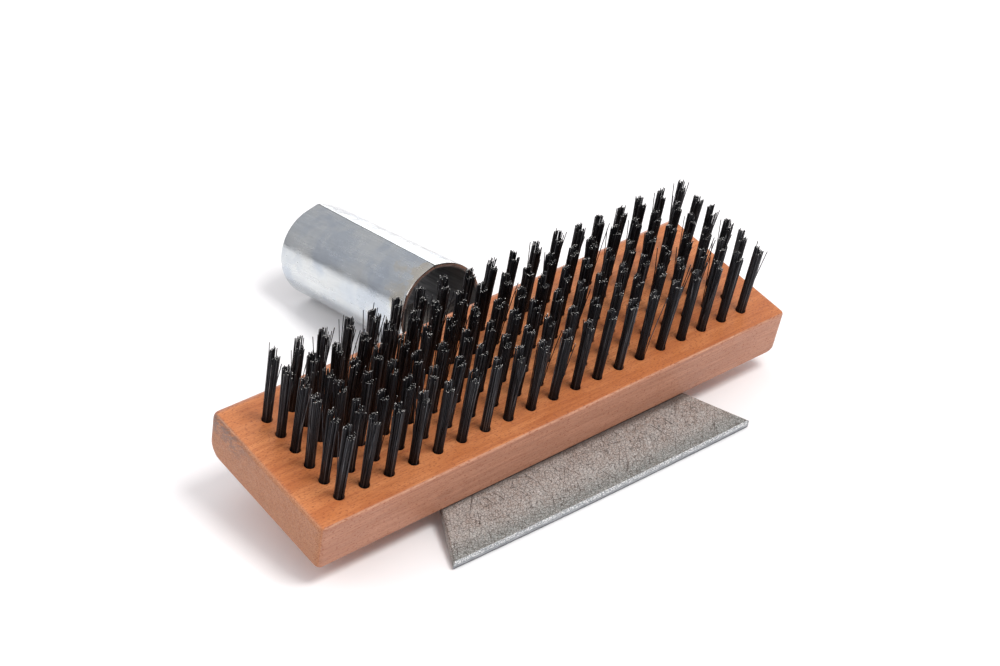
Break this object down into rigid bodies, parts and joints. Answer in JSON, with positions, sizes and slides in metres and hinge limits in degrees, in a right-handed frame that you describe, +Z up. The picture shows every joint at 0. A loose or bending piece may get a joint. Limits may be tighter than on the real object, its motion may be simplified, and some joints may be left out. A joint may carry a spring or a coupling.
{
  "type": "wire brush",
  "caption": "Wire scratch brush with a long hardwood block, rows of steel-wire tufts, a fan-shaped steel scraper plate under the block and a tube socket for a long handle.",
  "frame": {"origin": "middle of the footprint, on the bench that the brush lies on, bristles up, touching it with the scraper's lower front edge and the far rim of the handle socket", "axes": "+X along the block's length, +Y from the scraper's edge towards the handle socket, +Z up; the block's bristle face leans 11.9 degrees from level, its socket side higher"},
  "size_m": [0.1982, 0.1662, 0.0636],
  "materials": {
    "varnished_wood": "thin satin varnish on fine-grained hardwood, open end grain",
    "bristle_wire": "dark tempered steel wire with bright cut tips",
    "anchor_wire": "plain flat steel wire",
    "scraper_steel": "mild steel plate with a grey film and random scratches, and a bright sheared front edge",
    "socket_zinc": "bright zinc plating with faint blue and straw tints",
    "weld_metal": "rippled fillet weld, slightly heat-tinted",
    "screw_zinc": "zinc-plated screw"
  },
  "bodies": {
    "root": {"wood_block": "varnished_wood", "tuft_column_01": "bristle_wire", "tuft_column_02": "bristle_wire", "tuft_column_03": "bristle_wire", "tuft_column_04": "bristle_wire", "tuft_column_05": "bristle_wire", "tuft_column_06": "bristle_wire", "tuft_column_07": "bristle_wire", "tuft_column_08": "bristle_wire", "tuft_column_09": "bristle_wire", "tuft_column_10": "bristle_wire", "tuft_column_11": "bristle_wire", "tuft_column_12": "bristle_wire", "tuft_column_13": "bristle_wire", "tuft_column_14": "bristle_wire", "tuft_column_15": "bristle_wire", "tuft_column_16": "bristle_wire", "tuft_column_17": "bristle_wire", "tuft_column_18": "bristle_wire", "tuft_column_19": "bristle_wire", "anchor_row_1": "anchor_wire", "anchor_row_2": "anchor_wire", "anchor_row_3": "anchor_wire", "anchor_row_4": "anchor_wire", "anchor_row_5": "anchor_wire", "anchor_row_6": "anchor_wire", "scraper_plate": "scraper_steel", "handle_socket": "socket_zinc", "weld_bead_left": "weld_metal", "weld_bead_right": "weld_metal", "weld_bead_under": "weld_metal", "wood_screw_front_left": "screw_zinc", "wood_screw_front_right": "screw_zinc", "wood_screw_rear_left": "screw_zinc", "wood_screw_rear_right": "screw_zinc"}
  },
  "joints": []
}
